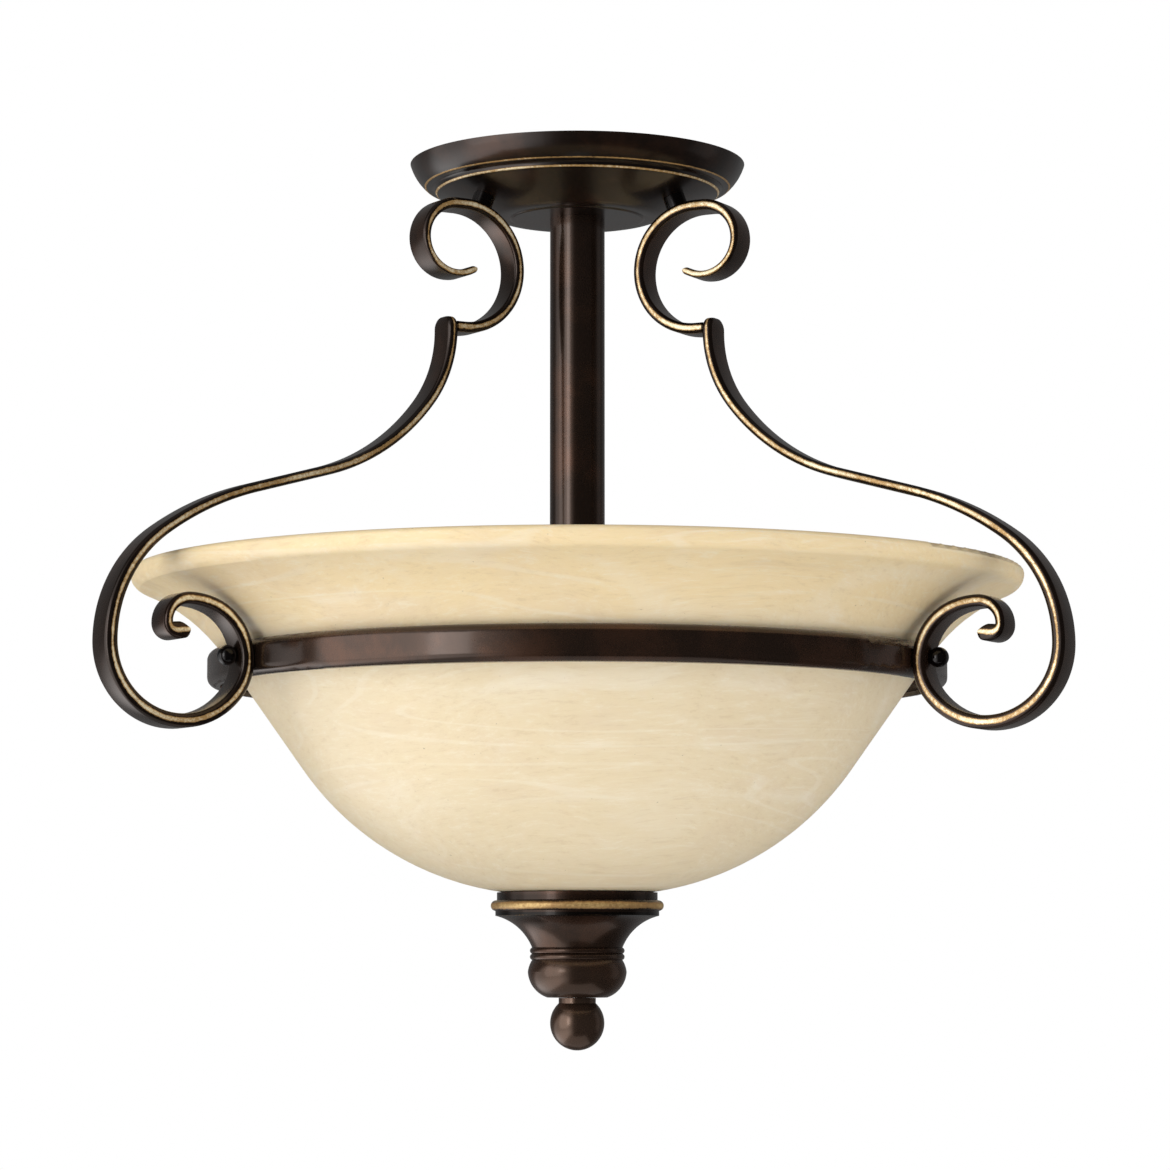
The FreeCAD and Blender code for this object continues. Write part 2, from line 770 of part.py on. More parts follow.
def upper_scroll(name):
    """C scroll under the canopy, thinned towards its curled tip."""
    bottom = scroll_up - D.scroll_radius
    steps = [
        Run(scroll_end - scroll_out),
        Bend(RIGHT, D.scroll_radius, as_size(180), D.bar_thick),
        Run(D.scroll_top_run),
        Bend(RIGHT, D.scroll_curl_radius, D.scroll_curl_sweep, D.scroll_curl_thick),
    ]
    starts = {LEFT: (scroll_end, bottom - D.bar_thick / 2), RIGHT: (scroll_end, bottom + D.bar_thick / 2)}
    body = forge("scroll_%s_bar" % name, steps, starts, 180)
    face = D.bar_width.value / 2 - SLACK
    end = scroll_end.value - SLACK

    def along_side(a, b):
        return abs(a.y) > face and abs(b.y) > face and a.y * b.y > 0 and not (a.x > end and b.x > end)

    return round_edges(body, D.bar_edge, along_side)


def main_bar(name):
    """Long S bar that ends in the loop and roll beside the ring."""
    top = scroll_up - D.scroll_radius + D.bar_thick / 2 + D.nub_rise
    steps = [
        Run(),
        Bend(LEFT, D.neck_radius, D.neck_sweep, D.bar_thick),
        Bend(LEFT, D.hip_radius, D.hip_sweep, D.bar_thick),
        Run(),
        Bend(RIGHT, D.back_radius, D.back_sweep, D.bar_thick),
        Bend(RIGHT, D.shoulder_bend, D.neck_sweep + D.hip_sweep - D.back_sweep, D.shoulder_thick),
        Bend(RIGHT, D.belly_radius, D.belly_sweep, D.loop_thick),
        Bend(RIGHT, D.rise_radius, 180 - D.belly_sweep, D.loop_thick),
        Bend(RIGHT, D.crown_radius, D.crown_sweep, D.brow_thick),
        Bend(RIGHT, D.brow_radius, 90 - D.crown_sweep, D.brow_thick),
        Bend(RIGHT, D.curl_radius, D.curl_sweep, D.curl_thick),
        Bend(RIGHT, D.roll_radius, D.roll_sweep, D.roll_thick),
    ]
    contact = [number for number, step in enumerate(steps) if getattr(step, "radius", None) is D.rise_radius][0]
    starts = {LEFT: (D.nub_radius + D.bar_thick / 2, top), RIGHT: (scroll_end, top)}
    touch = ring_up - D.loop_sag
    pins = {LEFT: {contact: (D.ring_radius, touch)},
            RIGHT: {contact: (D.ring_radius + D.loop_thick, touch)}}
    body = forge("arm_%s_bar" % name, steps, starts, -90, pins)
    face = D.bar_width.value / 2 - SLACK
    level = top.value - SLACK

    def nub_corner(a, b):
        return a.z > level and b.z > level and a.y * b.y > 0

    def rest(a, b):
        seam = abs(a.y) > face and abs(b.y) > face and a.y * b.y < 0
        across_nub = a.z > level and b.z > level and abs(a.x - b.x) > 1
        return not seam and not across_nub

    round_edges(body, D.nub_round, nub_corner)
    return round_edges(body, D.bar_edge, rest)


def arm(name, azimuth):
    """One arm: scroll and bar welded end to side, collar and screw at the canopy, ball screw at the ring.
    Gives back the screw and the nut that are filed with their like."""
    lean = 180 - D.canopy_slope
    screw_reach = D.collar_height + D.bar_thick - D.screw_end_skin
    screw_radius = D.arm_screw_size / 2

    hole = place(rod_shape("scroll_%s_hole" % name, screw_radius + D.thread_gap, screw_reach),
                 out=D.collar_place, up=collar_seat, tilt=lean)
    scroll = cut("scroll_%s_cut" % name, upper_scroll(name), [hole])
    piece(place(scroll, azimuth), "arm_scroll_" + name)

    shank_radius = D.ball_shank_size / 2
    seat_radius = D.ball_size / 2
    bore = place(rod_shape("bar_%s_hole" % name, shank_radius + D.thread_gap, D.loop_thick * 2),
                 out=D.ring_radius - D.loop_thick / 2, up=ring_up, tilt=90)
    spot = place(rod_shape("bar_%s_spot_face" % name, seat_radius, D.loop_thick),
                 out=D.ring_radius + D.loop_thick, up=ring_up, tilt=90)
    bar = cut("bar_%s_cut" % name, main_bar(name), [bore, spot])
    piece(place(bar, azimuth), "arm_bar_" + name)

    collar = ring_shape("collar_%s_turning" % name, D.collar_size / 2, screw_radius + D.slip_gap,
                        D.collar_height)
    piece(place(collar, azimuth, D.collar_place, collar_seat, lean), "arm_collar_" + name)

    head_seat = D.canopy_wall + D.thread_gap * 2
    screw = headed("arm_screw_%s_turning" % name, screw_radius, head_seat + screw_reach,
                   D.arm_screw_head / 2, D.arm_screw_head_height)
    place(screw, azimuth, D.collar_place - head_seat * sine(D.canopy_slope),
          collar_seat + head_seat * cosine(D.canopy_slope), -D.canopy_slope)

    seat = D.loop_thick + D.slip_gap
    inner_end = -D.ring_wall - D.ring_nut_height - D.screw_end_show
    ball_radius = D.ball_size / 2
    flat_angle = math.asin(D.ball_rise.value / ball_radius.value)
    ball = turned("ball_screw_%s_turning" % name, [
        (0, inner_end),
        (shank_radius, inner_end),
        (shank_radius, seat),
        (ball_radius * math.cos(flat_angle), seat, ball_radius),
        (ball_radius, seat + D.ball_rise, ball_radius),
        (0, seat + D.ball_rise + ball_radius),
    ])
    piece(place(ball, azimuth, D.ring_radius, ring_up, 90), "ball_screw_" + name)

    nut_gap = D.thread_gap * 2
    nut = nut_shape("ring_nut_%s_cut" % name, D.ring_nut_flats, shank_radius + D.thread_gap, D.ring_nut_height)
    nut_out = D.ring_radius - D.ring_wall - nut_gap - D.ring_nut_height
    place(nut, azimuth, nut_out, ring_up, 90)
    return screw, nut


# ---- ring and glass ---------------------------------------------------------------------------

def glass_ring():
    """Rolled channel round the glass, its lips turned in."""
    wall = D.ring_wall
    corner = D.ring_corner + wall / 2
    steps = [
        Run(D.ring_lip - corner),
        Bend(RIGHT, D.ring_corner, as_size(90), wall),
        Run(D.ring_height - corner * 2),
        Bend(RIGHT, D.ring_corner, as_size(90), wall),
        Run(D.ring_lip - corner),
    ]
    body = new_body("ring_channel")
    strip(new_sketch(body), {LEFT: (ring_inside, ring_top), RIGHT: (ring_inside, ring_top - wall)}, 0, steps)
    revolve(body, body.Group[0])
    holes = []
    for name, azimuth in ARMS.items():
        hole = rod_shape("ring_hole_" + name, D.ball_shank_size / 2 + D.slip_gap, wall * 3)
        holes.append(place(hole, azimuth, D.ring_radius - wall * 2, ring_up, 90))
    piece(cut("ring_cut", body, holes), "glass_ring")


def glass_bowl():
    """Bell shaped bowl: flat middle, round bottom, straight wall through the ring, flared rim."""
    wall = D.glass_wall
    hole = D.glass_hole_size / 2
    rim = D.ring_radius + D.glass_overhang
    in_ring = ring_inside - D.slip_gap
    rise = ring_top - glass_bottom
    outside_bend = ((in_ring - hole - D.glass_flat_run - rise / tangent(D.glass_slope))
                    / tangent(D.glass_slope / 2))
    flare_slope = D.glass_slope - D.glass_flare_sweep
    lip_reach = (D.glass_lip_bend + wall / 2) * (1 - sine(flare_slope))
    flare_reach = rim - lip_reach - in_ring + D.glass_flare_start * cosine(D.glass_slope)
    outside_flare = flare_reach / (sine(D.glass_slope) - sine(flare_slope))
    steps = [
        Run(D.glass_flat_run),
        Bend(LEFT, outside_bend - wall / 2, D.glass_slope, wall),
        Run(),
        Bend(RIGHT, outside_flare + wall / 2, D.glass_flare_sweep, wall),
        Bend(LEFT, D.glass_lip_bend, 90 - flare_slope, wall),
    ]
    lip = len(steps) - 1
    body = new_body("bowl_blowing")
    strip(new_sketch(body), {LEFT: (hole, glass_inside), RIGHT: (hole, glass_bottom)}, 0, steps,
          {LEFT: {lip: (rim - wall, None)}, RIGHT: {lip: (rim, None)}},
          tip=D.slip_gap)
    piece(revolve(body, body.Group[0]), "glass_bowl")


# ---- lamps ------------------------------------------------------------------------------------

def cluster():
    """Housing at the foot of the stem that carries the three lamp holders, and its lid."""
    lid_edge = D.cluster_radius - cluster_lean - D.cluster_wall * tangent(D.lamp_tilt) - D.thread_gap
    lid = ring_shape("cluster_lid_turning", lid_edge, D.stem_foot_size / 2 + D.thread_gap, D.cluster_wall)
    piece(place(lid, up=cluster_top), "cluster_lid")
    wall = D.cluster_wall
    thin = wall / cosine(D.lamp_tilt)
    cup = turned("cluster_cup_turning", [
        (rod_slip, 0),
        (D.cluster_radius + cluster_lean, 0),
        (D.cluster_radius - cluster_lean, D.cluster_height),
        (D.cluster_radius - cluster_lean - thin, D.cluster_height),
        (D.cluster_radius + cluster_lean - thin - wall * tangent(D.lamp_tilt), wall),
        (rod_slip, wall),
    ])
    place(cup, up=cluster_bottom)
    holes = []
    for name, azimuth in LAMPS.items():
        hole = rod_shape("cluster_hole_" + name, D.pipe_size / 2 + D.thread_gap, D.cluster_radius)
        reach = lamp_seat - D.cluster_radius / 2
        holes.append(place(hole, azimuth, reach * cosine(D.lamp_tilt), lamp_up + reach * sine(D.lamp_tilt),
                           90 - D.lamp_tilt))
    piece(cut("cluster_cut", cup, holes), "cluster_housing")


def lamp(name, azimuth):
    """Lamp holder on its short pipe, with its screw shell and centre contact, and the lamp in it."""
    def stand(thing, reach):
        reach = lamp_seat + reach
        return place(thing, azimuth, reach * cosine(D.lamp_tilt), lamp_up + reach * sine(D.lamp_tilt),
                     90 - D.lamp_tilt)

    pipe_in = D.lamp_pipe_length - D.holder_back
    pipe = ring_shape("lamp_pipe_%s_turning" % name, D.pipe_size / 2, D.pipe_bore / 2, D.lamp_pipe_length)
    piece(stand(pipe, -pipe_in), "lamp_pipe_" + name)

    outside = D.holder_size / 2
    inside = D.shell_size / 2 + D.thread_gap
    holder = turned("lamp_holder_%s_turning" % name, [
        (D.pipe_size / 2 + D.thread_gap, 0),
        (D.holder_foot_size / 2, 0),
        (outside, D.holder_back),
        (outside, D.holder_length),
        (inside, D.holder_length),
        (inside, D.holder_back),
        (D.pipe_size / 2 + D.thread_gap, D.holder_back),
    ])
    piece(stand(holder, as_size(0)), "lamp_holder_" + name)

    contact_floor = D.holder_back + D.thread_gap
    contact = rod_shape("lamp_contact_%s_disc" % name, D.contact_size / 2, D.contact_height)
    piece(stand(contact, contact_floor), "lamp_contact_" + name)
    base_floor = contact_floor + D.contact_height + D.slip_gap
    shell = ring_shape("lamp_shell_%s_turning" % name, D.shell_size / 2, D.shell_size / 2 - D.shell_wall,
                       D.shell_length)
    piece(stand(shell, base_floor), "screw_shell_" + name)

    base = turned("lamp_base_%s_turning" % name, [
        (0, 0),
        (D.contact_size / 2, 0),
        (D.lamp_base_size / 2, D.contact_size / 2),
        (D.lamp_base_size / 2, D.lamp_base_length),
        (0, D.lamp_base_length),
    ])
    piece(stand(base, base_floor), "lamp_base_" + name)
    envelope = lamp_glass("lamp_glass_%s_blowing" % name)
    piece(stand(envelope, base_floor + D.lamp_base_length), "lamp_glass_" + name)


def lamp_glass(name):
    """Pear shaped glass, open where it meets the metal base."""
    round_radius = D.lamp_size / 2
    middle = lamp_length - D.lamp_base_length - round_radius
    below = D.lamp_shoulder_angle
    neck = D.lamp_neck_size / 2
    wall = D.lamp_glass_wall
    straight = D.lamp_neck_length
    inner = round_radius - wall
    return turned(name, [
        (neck, 0),
        (neck, straight, -D.lamp_size),
        (round_radius * cosine(below), middle - round_radius * sine(below), round_radius),
        (0, middle + round_radius),
        (0, middle + inner, -inner),
        (inner * cosine(below), middle - inner * sine(below), D.lamp_size + wall),
        (neck - wall, straight),
        (neck - wall, 0),
    ])


# ---- rod, clamp and finial --------------------------------------------------------------------

def rod_and_clamp():
    """Threaded rod from the cluster down into the finial, with the nuts and washers on it."""
    length = rod_top - ball_top + D.rod_in_ball
    piece(place(rod_shape("rod_bar", rod_radius, length), up=ball_top - D.rod_in_ball), "centre_rod")
    plate_bottom = glass_inside + D.gasket_thick
    for label, up in (("rod_nut_upper", cluster_bottom + D.cluster_wall),
                      ("rod_nut_lower", cluster_bottom - D.rod_nut_height),
                      ("plate_nut", plate_bottom + D.plate_thick)):
        piece(place(nut_shape(label + "_cut", D.rod_nut_flats, rod_fit, D.rod_nut_height), up=up), label)
    gasket = ring_shape("upper_gasket_disc", D.upper_gasket_size / 2, rod_slip, D.gasket_thick)
    piece(place(gasket, up=glass_inside), "upper_gasket")
    piece(place(ring_shape("clamp_plate_disc", D.plate_size / 2, rod_slip, D.plate_thick), up=plate_bottom),
          "clamp_plate")
    gasket = ring_shape("lower_gasket_disc", D.lower_gasket_size / 2, rod_slip, D.gasket_thick)
    piece(place(gasket, up=web_top), "lower_gasket")


def finial_cup():
    """Spun cup under the glass: plain band, bead, step, hollow flare and a ring at the throat."""
    wall = D.cup_wall
    rim = D.cup_radius
    throat = D.cup_throat_radius
    cup = turned("finial_cup_spinning", [
        (rod_slip, web_top - wall),
        (rim - wall, web_top - wall),
        (rim - wall, flare_top + wall, D.cup_flare_bend - wall),
        (throat - wall, flare_bottom),
        (throat - wall, cup_bottom),
        (throat, cup_bottom, D.cup_ring_bend),
        (throat, flare_bottom, -D.cup_flare_bend),
        (rim + wall / 2, flare_top),
        (rim + wall / 2, bead_bottom, D.cup_bead_bend),
        (rim + wall / 2, bead_top),
        (rim, bead_top),
        (rim, cup_rim),
        (rim - wall, cup_rim),
        (rim - wall, web_top),
        (rod_slip, web_top),
    ])
    piece(cup, "finial_cup")


def finial_bulge():
    """Turned piece between the cup and the ball."""
    throat = D.cup_throat_radius
    widest = turning_neck - D.bulge_rise
    piece(turned("finial_bulge_turning", [
        (rod_slip, turning_bottom),
        (D.bulge_foot_radius, turning_bottom, D.bulge_bend),
        (D.bulge_radius, widest, D.bulge_bend),
        (throat, turning_neck, D.cup_ring_bend),
        (throat, cup_bottom),
        (rod_slip, cup_bottom),
    ]), "finial_bulge")


def finial_ball():
    """Ball nut with its neck, bored blind for the rod."""
    radius = D.finial_ball_radius
    neck = D.finial_neck_radius
    drop = Size(math.sqrt(radius.value ** 2 - neck.value ** 2),
                "sqrt(%s * %s - %s * %s)" % (radius.formula, radius.formula, neck.formula, neck.formula))
    neck_bottom = -D.finial_neck_height
    centre = neck_bottom - drop
    bore_end = -D.rod_in_ball - D.rod_end_space
    piece(place(turned("finial_ball_turning", [
        (0, centre - radius, radius),
        (neck, neck_bottom),
        (neck, 0),
        (rod_fit, 0),
        (rod_fit, bore_end),
        (0, bore_end),
    ]), up=ball_top), "finial_ball")


def build():
    mounting_strap()
    ceiling_fasteners()
    canopy()
    stem()
    arm_fasteners = [arm(name, azimuth) for name, azimuth in ARMS.items()]
    for label, alike in zip(("arm_screws", "ring_nuts"), zip(*arm_fasteners)):
        group = doc.addObject("Part::Compound", label + "_group")
        group.Links = list(alike)
        piece(group, label)
    glass_ring()
    glass_bowl()
    cluster()
    for name, azimuth in LAMPS.items():
        lamp(name, azimuth)
    rod_and_clamp()
    finial_cup()
    finial_bulge()
    finial_ball()


def write_parts():
    doc.recompute()
    bad = ["%s %s" % (one.Label, one.State) for one in doc.Objects
           if {"Invalid", "Error"} & set(one.State)]
    bad += [one.Label for one in pieces
            if one.Shape.isNull() or not one.Shape.isValid() or not one.Shape.Solids]
    if bad:
        sys.exit("not written, failed pieces: " + ", ".join(bad))
    os.makedirs("parts", exist_ok=True)
    for one in pieces:
        one.Shape.exportStep(os.path.join("parts", one.Label + ".step"))
        box = one.Shape.BoundBox
        print("%-22s solids %d volume %10.1f  z %8.1f to %8.1f"
              % (one.Label, len(one.Shape.Solids), one.Shape.Volume, box.ZMin, box.ZMax))
    print(len(pieces), "pieces")


build()
write_parts()
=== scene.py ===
import math
from collections import namedtuple
import bpy
from mathutils import Matrix, Vector


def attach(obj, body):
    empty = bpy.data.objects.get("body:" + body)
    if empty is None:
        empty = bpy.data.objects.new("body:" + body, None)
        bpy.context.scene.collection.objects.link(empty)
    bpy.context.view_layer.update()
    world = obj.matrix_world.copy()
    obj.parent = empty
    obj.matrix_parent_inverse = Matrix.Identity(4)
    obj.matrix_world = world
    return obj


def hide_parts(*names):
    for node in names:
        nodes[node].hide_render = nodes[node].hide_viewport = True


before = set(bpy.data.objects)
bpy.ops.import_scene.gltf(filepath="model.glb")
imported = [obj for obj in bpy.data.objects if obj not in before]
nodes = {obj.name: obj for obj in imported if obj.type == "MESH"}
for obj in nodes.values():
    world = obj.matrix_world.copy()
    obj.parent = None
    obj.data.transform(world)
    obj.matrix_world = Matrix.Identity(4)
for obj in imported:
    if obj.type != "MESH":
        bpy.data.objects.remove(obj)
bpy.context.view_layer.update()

arms = {"right": -30, "left": -150, "back": 90}      # degrees about the stem
lamps = ("front", "left", "right")
millimetre = 0.001


# a socket that takes part in Python sums: every operator adds its Math or Vector Math node
class Wire:
    def __init__(self, shader, socket):
        self.shader = shader
        self.socket = socket

    def isVector(self):
        return self.socket.type in ("VECTOR", "RGBA")

    def join(self, operation, first, second):
        vector = any(isinstance(w, Wire) and w.isVector() for w in (first, second))
        kind = "ShaderNodeVectorMath" if vector else "ShaderNodeMath"
        if vector:
            first, second = (Vector((w, w, w)) if isinstance(w, (int, float)) else w for w in (first, second))
        return self.shader.node(kind, {"operation": operation}, {0: first, 1: second})

    def __add__(self, other):
        return self.join("ADD", self, other)

    def __radd__(self, other):
        return self.join("ADD", other, self)

    def __sub__(self, other):
        return self.join("SUBTRACT", self, other)

    def __rsub__(self, other):
        return self.join("SUBTRACT", other, self)

    def __mul__(self, other):
        return self.join("MULTIPLY", self, other)

    def __rmul__(self, other):
        return self.join("MULTIPLY", other, self)

    def __pow__(self, other):
        return self.join("POWER", self, other)

    def __abs__(self):
        return self.shader.node("ShaderNodeMath", {"operation": "ABSOLUTE"}, {0: self})


class Shader:
    def __init__(self, name, tree=None):
        if tree is None:
            self.material = bpy.data.materials.new(name)
            self.material.use_nodes = True
            tree = self.material.node_tree
        self.tree = tree
        self.tree.nodes.clear()

    def node(self, kind, settings=None, values=None, out=0):
        # settings are the node's own, values its sockets' links or numbers, out the socket that is handed on
        made = self.tree.nodes.new(kind)
        for key, value in (settings or {}).items():
            setattr(made, key, value)
        for key, value in (values or {}).items():
            self.feed(made.inputs[key], value)
        return Wire(self, made.outputs[out]) if made.outputs else None

    def feed(self, socket, value):
        if isinstance(value, Wire):
            self.tree.links.new(value.socket, socket)
        elif socket.type == "RGBA" and len(value) == 3:
            socket.default_value = (*value, 1.0)
        else:
            socket.default_value = value

    def place(self):
        return self.node("ShaderNodeNewGeometry", out="Position")

    def ray(self, kind):
        return self.node("ShaderNodeLightPath", out="Is %s Ray" % kind)

    def part(self, vector, axis):
        return self.node("ShaderNodeSeparateXYZ", None, {0: vector}, out="XYZ".index(axis))

    def along(self, vector, way):
        return self.node("ShaderNodeVectorMath", {"operation": "DOT_PRODUCT"}, {0: vector, 1: way},
                         out="Value")

    def larger(self, first, second):
        return self.node("ShaderNodeMath", {"operation": "MAXIMUM"}, {0: first, 1: second})

    def noise(self, vector, scale, detail, rough, warp=0.0):
        return self.node("ShaderNodeTexNoise", None, {"Vector": vector, "Scale": scale, "Detail": detail,
                                                      "Roughness": rough, "Distortion": warp})

    def rise(self, value, low, high, start=0.0, end=1.0):
        # smooth step from start to end while value goes from low to high
        return self.node("ShaderNodeMapRange", {"interpolation_type": "SMOOTHSTEP"},
                         {0: value, 1: low, 2: high, 3: start, 4: end})

    def line(self, value, middle, width):
        # one along a line, fading to nothing a width away from it
        full = 0.35 * width
        return self.rise(abs(value - middle), width, full)

    def blend(self, factor, first, second):
        return self.node("ShaderNodeMix", {"data_type": "RGBA"}, {0: factor, 6: first, 7: second}, out=2)

    def bump(self, height, strength, depth):
        return self.node("ShaderNodeBump", None, {"Strength": strength, "Distance": depth, "Height": height})

    def skin(self, values):
        return self.node("ShaderNodeBsdfPrincipled", None, values)

    def finish(self, surface):
        self.node("ShaderNodeOutputMaterial", None, {"Surface": surface})
        return self.material


print("camera")

# metres and degrees, fitted to the photograph
camera = {
    "distance": 1.782472,    # from the stem's axis
    "azimuth": -92.0,        # the light is turned 2 degrees from square in the photograph
    "height": -0.369095,
    "pitch": 5.535,
    "aside": 0.00354,
    "focalPixels": 3880,
    "photoPixels": 1170,     # width of the photograph
    "sensor": 36.0,
    "farthest": 50,
}


def standCamera():
    azimuth, pitch = math.radians(camera["azimuth"]), math.radians(camera["pitch"])
    outward = Vector((math.cos(azimuth), math.sin(azimuth), 0))
    sideways = Vector((-outward.y, outward.x, 0))
    data = bpy.data.cameras.new("camera")
    data.sensor_width = camera["sensor"]
    data.lens = camera["focalPixels"] / camera["photoPixels"] * camera["sensor"]
    data.clip_end = camera["farthest"]
    eye = bpy.data.objects.new("camera", data)
    look = -outward * math.cos(pitch) + Vector((0, 0, math.sin(pitch)))
    eye.rotation_euler = look.to_track_quat("-Z", "Y").to_euler()
    stand = outward * camera["distance"] + sideways * camera["aside"]
    eye.location = stand + Vector((0, 0, camera["height"]))
    bpy.context.scene.collection.objects.link(eye)
    bpy.context.scene.camera = eye


standCamera()


print("finishes")

# noises are (scale, detail, roughness), or (scale, detail, roughness, distortion); ranges are (from, to)
bronze = {
    "dark": (0.044, 0.026, 0.018),
    "warm": (0.115, 0.052, 0.030),
    "paintedDarkReflection": (0.006, 0.004, 0.003),      # painted dark reflection beside a rubbed edge
    "metallic": 0.82,
    "roughness": 0.27,
    "specular": 0.3,
    "coat": 0.42,
    "coatRoughness": 0.12,
    "coatIor": 1.5,
    "mottle": (30.0, 5, 0.6),
    "grain": (900.0, 3, 0.6),
    "ripple": (110.0, 2, 0.4),
    "warmRange": (0.40, 0.66),
    "warmShare": 0.55,
    "mottleRough": 0.10,
    "grainRough": 0.08,
    "bump": 0.30,
    "grainBump": 0.12,
    "reliefDepth": 0.00010,
}

gilding = {
    "gold": (0.46, 0.28, 0.11),
    "paleGold": (0.97, 0.85, 0.59),
    "goldRoughness": 0.38,
    "goldMetallic": 0.45,
    "breaks": (700.0, 5, 0.75),          # small breaks in the gold
    "breakShare": 1.1,
    "patches": (26.0, 3, 0.55),          # stretches where it is strong or weak
    "patchShare": 1.2,
    "wornRange": (0.32, 0.72),
    "wornEdge": 0.15,
    "paleRange": (0.78, 1.16),
}


def bronzeFinish(name, rub=None, look=None):
    # dark rubbed bronze; rub gives where the gold shows through and where a painted dark reflection lies
    # beside it
    look = {**bronze, **gilding, **(look or {})}
    sh = Shader(name)
    here = sh.place()
    mottle, grain, ripple = (sh.noise(here, *look[kind]) for kind in ("mottle", "grain", "ripple"))
    colour = sh.blend(sh.rise(mottle, *look["warmRange"]) * look["warmShare"], look["dark"], look["warm"])
    rough = look["roughness"] + (mottle - 0.5) * look["mottleRough"] + (grain - 0.5) * look["grainRough"]
    metal, coat = look["metallic"], look["coat"]
    if rub:
        gold, paintedDarkReflection = rub(sh)
        breaks, patches = (sh.noise(here, *look[kind]) for kind in ("breaks", "patches"))
        strong = gold + ((breaks - 0.5) * look["breakShare"] + (patches - 0.5) * look["patchShare"])
        worn = sh.rise(strong, *look["wornRange"]) * sh.rise(gold, 0.0, look["wornEdge"])
        tone = sh.blend(sh.rise(strong, *look["paleRange"]), look["gold"], look["paleGold"])
        # the painted dark reflection beside the rubbed gold goes in first, then the gold over it
        colour = sh.blend(worn, sh.blend(paintedDarkReflection, colour, look["paintedDarkReflection"]), tone)
        rough = rough + worn * (look["goldRoughness"] - look["roughness"])
        metal = look["metallic"] + worn * (look["goldMetallic"] - look["metallic"])
        coat = look["coat"] * (1 - worn)
    return sh.finish(sh.skin({
        "Base Color": colour,
        "Roughness": rough,
        "Metallic": metal,
        "Specular IOR Level": look["specular"],
        "Coat Weight": coat,
        "Coat Roughness": look["coatRoughness"],
        "Coat IOR": look["coatIor"],
        "Normal": sh.bump(ripple + grain * look["grainBump"], look["bump"], look["reliefDepth"]),
    }))


# millimetres; the attribute barPlace says how far across the narrow side a point is, how far below the crown,
# and how level the bar lies there
barRub = {
    "line": 0.64,            # half width of the gold line
    "wide": 0.68,            # how much wider it is where the bar lies level
    "drift": (160.0, 3, 0.55),
    "driftShare": 0.8,
    "fade": (0.45, -0.81),   # distances from the line's edge, outside and inside, between which it fades
    "reach": (1.4, 0.9),     # how far down from the crown it ends, and is still full
    # how far down from the crown the painted dark reflection ends and is still full, and how strong it is
    "paintedDarkReach": (2.05, 1.2),
    "paintedDarkShare": 0.6,
}


def edgeRub(sh):
    # the bars lost their dark coat along the crowns of their narrow sides
    mark = sh.node("ShaderNodeAttribute", {"attribute_name": "barPlace"}, out="Vector")
    across, down, level = (sh.part(mark, axis) for axis in "XYZ")
    drift = (sh.noise(sh.place(), *barRub["drift"]) - 0.5) * barRub["driftShare"]
    outside = abs(across) - (barRub["line"] + level * barRub["wide"] + drift)
    gold = sh.rise(outside, *barRub["fade"]) * sh.rise(down, *barRub["reach"])
    # the second mask is a painted dark reflection over the crown beside the gold line
    return gold, sh.rise(down, *barRub["paintedDarkReach"]) * barRub["paintedDarkShare"]


ridgeEdge = {
    "full": 0.25,            # shares of a ridge's reach: where the gold is full,
    "paintedDarkReflection": (2.6, 1.8),     # and where the painted dark reflection beside it ends and is full
    "paintedDarkShare": 0.6,
}


def ridgeRub(ridges):
    # turned ridges rub bright, with a painted dark reflection beside them; each is a circle about the stem's
    # axis: (radius, height, reach, share), metres
    def rub(sh):
        here = sh.place()
        level = here * Vector((1, 1, 0))
        out = sh.node("ShaderNodeVectorMath", {"operation": "LENGTH"}, {0: level}, out="Value")
        height = sh.part(here, "Z")
        gold = paintedDarkReflection = 0
        for ridgeRadius, ridgeHeight, reach, share in ridges:
            away = ((out - ridgeRadius) ** 2 + (height - ridgeHeight) ** 2) ** 0.5
            blackEnd, blackFull = (reach * edge for edge in ridgeEdge["paintedDarkReflection"])
            gold = sh.rise(away, reach, reach * ridgeEdge["full"]) * share + gold
            paintedDarkReflection = sh.rise(away, blackEnd, blackFull) * (ridgeEdge["paintedDarkShare"] * share) + paintedDarkReflection
        return tuple(sh.node("ShaderNodeClamp", None, {0: total}) for total in (gold, paintedDarkReflection))
    return rub


bronzePieces = {
    "canopy": {
        "ridges": [(0.0708, -0.0105, 0.0009, 0.8), (0.0657, -0.0134, 0.0010, 1.0)],
        # its bronze is darker than the other pieces': painted shade for its shaded underside
        "look": {"dark": (0.019, 0.011, 0.008), "warm": (0.070, 0.031, 0.018), "roughness": 0.34, "coat": 0.6,
                 "coatRoughness": 0.18},
    },
    "stem": {},
    "ring": {
        "ridges": [(0.1690, -0.2286, 0.0008, 0.35)],
    },
    "cup": {
        "ridges": [(0.0390, -0.3441, 0.0026, 0.9), (0.0375, -0.3491, 0.0009, 0.9)],
        "look": {"gold": (0.31, 0.18, 0.07), "paleGold": (0.60, 0.42, 0.18), "coat": 0.22},
    },
    "bulge": {
        "ridges": [(0.0222, -0.3660, 0.0006, 0.35), (0.0222, -0.3687, 0.0006, 0.35)],
        "look": {"dark": (0.070, 0.042, 0.029), "coat": 0.3},
    },
    "ball": {
        "look": {"dark": (0.090, 0.055, 0.038), "coat": 0.3},
    },
    # near black: the ball screws' own colour, and on the collars painted shade for the shadow they sit in
    # under the canopy
    "ballScrew": {
        "look": {"dark": (0.006, 0.004, 0.004), "warm": (0.010, 0.007, 0.006), "coat": 0.5},
    },
}

finishes = {"arm": bronzeFinish("armBronze", edgeRub)}
for name, piece in bronzePieces.items():
    rub = ridgeRub(piece["ridges"]) if "ridges" in piece else None
    finishes[name] = bronzeFinish(name + "Bronze", rub, piece.get("look"))

